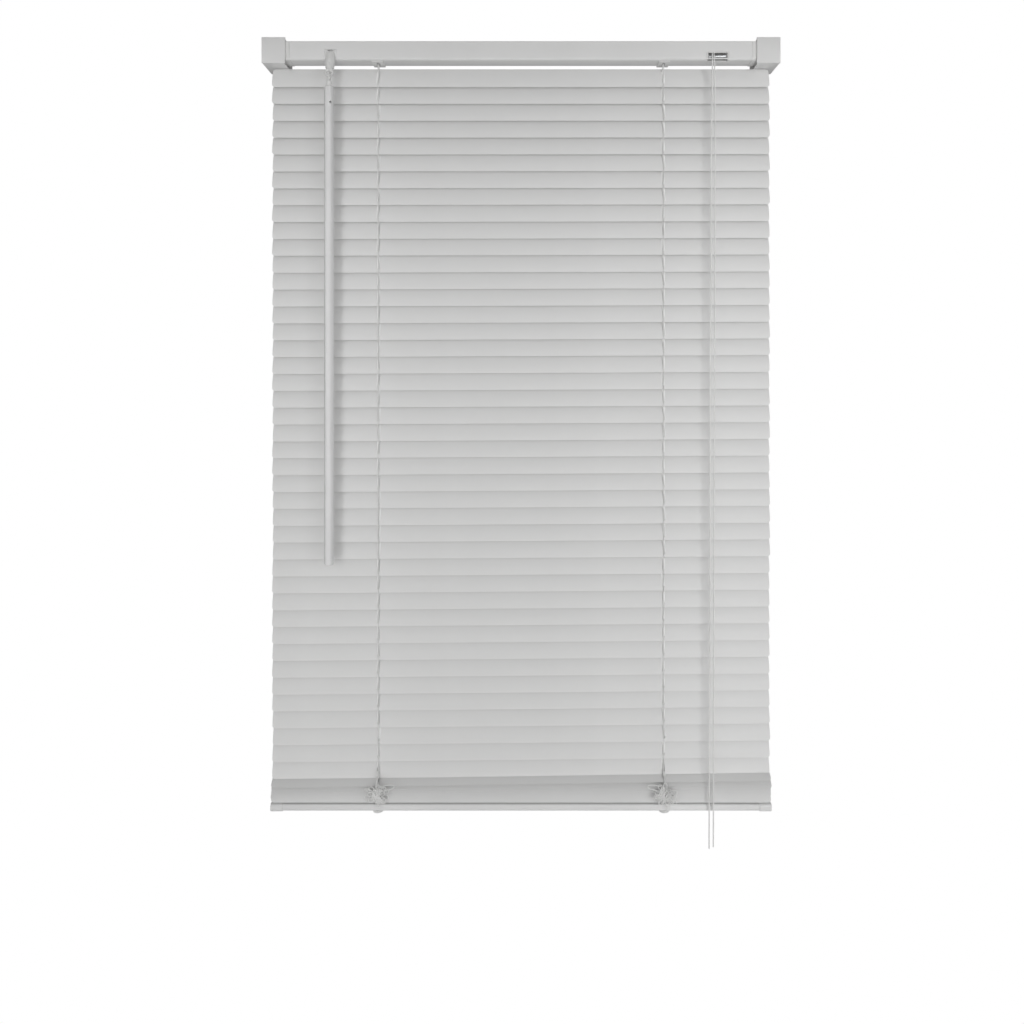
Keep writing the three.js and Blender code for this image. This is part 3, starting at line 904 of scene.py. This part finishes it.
# The snout's radius at distances along the stem, down its outside and back up its bore.
SNOUT_PROFILE = (
    (9, 6.2), (14, 6.1), (18, 5.9), (22, 5.7), (26, 5.5),
    (28.5, 5.2), (29.3, 4.8), (29.3, 4.55), (9, 4.55),
)


def hexagon(x, y, z, corner):
    """A six-sided ring about an upright axis, each of its corners cut off by 8 degrees."""
    ring = []
    for k in range(6):
        for turn in (-4, 4):
            angle = math.radians(60 * k + turn)
            ring.append((x + corner * math.cos(angle), y + corner * math.sin(angle), z))
    return ring


def wand():
    """A six-sided rod with a small hole near its top, a neck, and a closed hook in the stem's eye."""
    low, high = (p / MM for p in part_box("wand"))
    x, y = (low.x + high.x) / 2, (low.y + high.y) / 2
    top, bottom = WAND_TOP, low.z
    corner = WAND_ACROSS / math.sqrt(3)
    profile = ((bottom, 0.7), (bottom + 0.4, 0.86), (bottom + 1.2, 0.97), (bottom + 2.4, 1),
               (-360, 1), (top - 1.6, 1), (top - 0.5, 0.93), (top, 0.8))
    sections = [hexagon(x, y, z, corner * grow) for z, grow in profile]
    rod = piece("wand_rod", loft("wand_rod", sections), "wand_plastic", sharp=30)
    cut(rod, [((x + 1.5, y - 8, top - 21.6), (x + 3.6, y + 1.5, top - 19.4))])
    rod.data.set_sharp_from_angle(angle=math.radians(30))
    riding(rod, "wand", "wand")
    neck = [upright_ring(x, y, top + rise, radius, 24) for rise, radius in NECK_PROFILE]
    riding(piece("wand_neck", loft("wand_neck", neck), "nylon"), "wand", "wand")
    loop = []
    for degrees in range(0, 361, 20):
        angle = math.radians(degrees)
        z = high.z - 5 + EYE_RADIUS * math.cos(angle)
        loop.append((x + 0.8, y + EYE_RADIUS * math.sin(angle), z))
    hook = tubes("wand_hook", [loop], 0.9, sides=10, steps=2)
    riding(piece("wand_hook", hook, "nylon", sharp=80), "wand", "wand")


def worm_axis(distance):
    """A point on the tilter's leaning stem, in millimetres, at a distance from the worm's middle."""
    y = PIVOT_Y - WORM_OFFSET * math.cos(WORM_LEAN) - distance * math.sin(WORM_LEAN)
    z = ROD_Z + WORM_OFFSET * math.sin(WORM_LEAN) - distance * math.cos(WORM_LEAN)
    return Vector((TILTER_X, y, z))


def ring_about_stem(distance, radius, count=32):
    """A ring of points square to the stem."""
    centre = worm_axis(distance)
    along = (worm_axis(1) - worm_axis(0)).normalized()
    across = Vector((1, 0, 0))
    other = along.cross(across)
    angles = [2 * math.pi * k / count for k in range(count)]
    return [centre + radius * (math.cos(a) * across + math.sin(a) * other) for a in angles]


def tilter_face():
    """The tilter's front fills its cut-out, all but a slot near the top. The snout leans out of it."""
    half = TILTER_HALF - 0.1
    ends = (TILTER_X - half, TILTER_X + half)
    low, high = (RAIL_FRONT, RAIL_BOTTOM + 1.0), (RAIL_FRONT + 1.2, TILTER_TOP - 0.2)
    face = piece("tilter_face", rounded_bar("tilter_face", ends, low, high, 0.5, 0.2), "white_paint")
    cut(face, [((TILTER_X - 5.2, RAIL_FRONT - 1, -16.4), (TILTER_X + 5.2, RAIL_FRONT + 3, -15.2))])
    riding(face, "root")
    low, high = (RAIL_FRONT + 0.9, RAIL_BOTTOM), (RAIL_FRONT + 8.8, RAIL_BOTTOM + 2.4)
    foot = rounded_bar("tilter_foot", ends, low, high, 0.9, 0.2)
    riding(piece("tilter_foot", foot, "white_paint"), "root")
    sections = [ring_about_stem(distance, radius) for distance, radius in SNOUT_PROFILE]
    riding(piece("tilter_snout", loft("tilter_snout", sections), "nylon"), "root")


def lock_bezel():
    """A thin frame round the cord lock's mouth."""
    low, high = (RAIL_FRONT - 0.45, -26.4), (RAIL_FRONT + 0.3, -16.6)
    data = rounded_bar("cord_lock_frame", (230.0, 258.2), low, high, 0.3, 0.3)
    bezel = piece("cord_lock_frame", data, "nylon")
    mouth_low = (LOCK_LEFT + 0.1, RAIL_FRONT - 3, -24.9)
    cut(bezel, [(mouth_low, (LOCK_RIGHT - 0.1, RAIL_FRONT + 3, LOCK_TOP))])
    riding(bezel, "root")


def small_parts():
    """The pieces whose CAD shape is right: each is a copy with rounded edges, plus the two fronts."""
    for _, word in SIDES:
        refined(f"box_bracket_{word}", f"bracket_{word}", "white_paint", 0.45)
        refined(f"bracket_cover_{word}", f"bracket_door_{word}", "white_paint", 0.35)
    refined("rod_and_drums", "tilt_rod", "steel", 0.2)
    refined("tilter_stem", "tilter_worm", "nylon", 0.12)
    refined("tilter_case", "tilter_housing", "nylon", 0.3)
    tilter_face()
    lock_bezel()
    refined("cord_lock_case", "cord_lock", "nylon", 0.3)
    refined("cord_lock_pin", "cord_lock_roller", "steel", 0.2)


# ---- the scene -------------------------------------------------------------------------------
bpy.context.scene.view_settings.view_transform = "Standard"
make_camera()
make_sky(0.33)
make_light("front_left", (-0.50, -0.78, -0.5), (-0.26, 0, -0.5), (0.22, 1.5), 0.65, spread=80)
make_light("front_right", (0.60, -0.78, -0.5), (0.27, 0, -0.5), (0.22, 1.5), 0.95, spread=80)
make_light("front_fill", (0.3, -2.4, -1.2), (0.1, 0, -0.55), (1.8, 1.6), 13)
make_light("under_headrail", (0, -0.9, -0.95), (0, -0.03, 0.02), (1.2, 0.3), 0.2, spread=60)
make_floor()
pull_cords()
hanging_slats()
raised_slats()
for side, word in SIDES:
    ladder(side, f"ladder_{word}_strings")
    lift_cord(side, f"lift_cord_{word}_strand")
    bunch(side, f"bunched_string_{word}")
bottom_rail()
headrail()
ladder_cradles()
wand()
small_parts()
